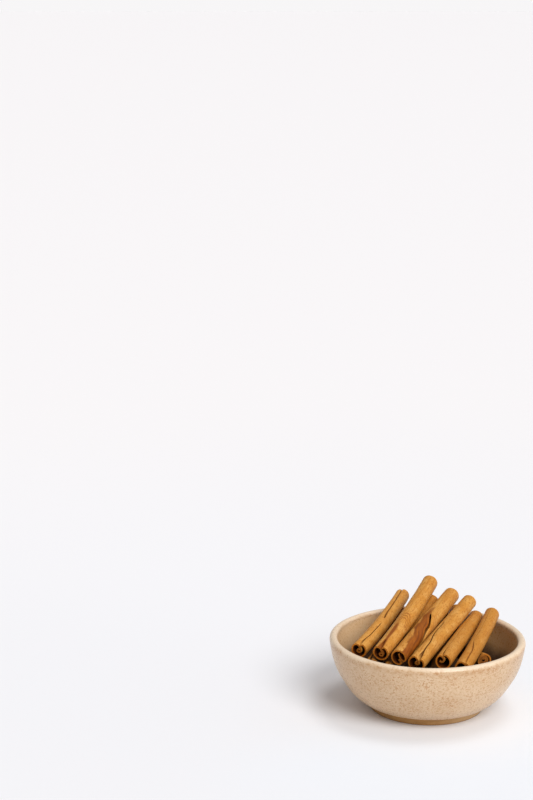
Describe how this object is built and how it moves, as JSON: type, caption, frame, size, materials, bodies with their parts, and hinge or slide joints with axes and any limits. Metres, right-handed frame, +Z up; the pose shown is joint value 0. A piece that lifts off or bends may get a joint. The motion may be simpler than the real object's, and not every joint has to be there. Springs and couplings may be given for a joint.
{
  "type": "bundle of cinnamon sticks in a bowl",
  "caption": "Loose bundle of rolled cinnamon bark sticks leaning in a small round speckled stoneware bowl with a low foot.",
  "frame": {"origin": "centre of the bowl's foot, on the surface it stands on", "axes": "+Z up; the cut front ends of the sticks face -Y and their back ends lean on the rim towards +Y; +X to the right as seen from the front"},
  "size_m": [0.11, 0.11, 0.0619],
  "materials": {
    "glaze": "satin beige glaze with fine brown speckles",
    "bark": "dry matt bark, golden brown with darker edges"
  },
  "bodies": {
    "root": {"bowl": "glaze", "stick_top_1": "bark", "stick_top_2": "bark", "stick_top_3": "bark", "stick_top_4": "bark", "stick_top_5": "bark", "stick_top_6": "bark", "stick_under_1": "bark", "stick_under_2": "bark", "stick_under_3": "bark", "stick_under_4": "bark", "stick_low_1": "bark", "stick_low_2": "bark", "stick_low_3": "bark", "stick_short": "bark"}
  },
  "joints": []
}
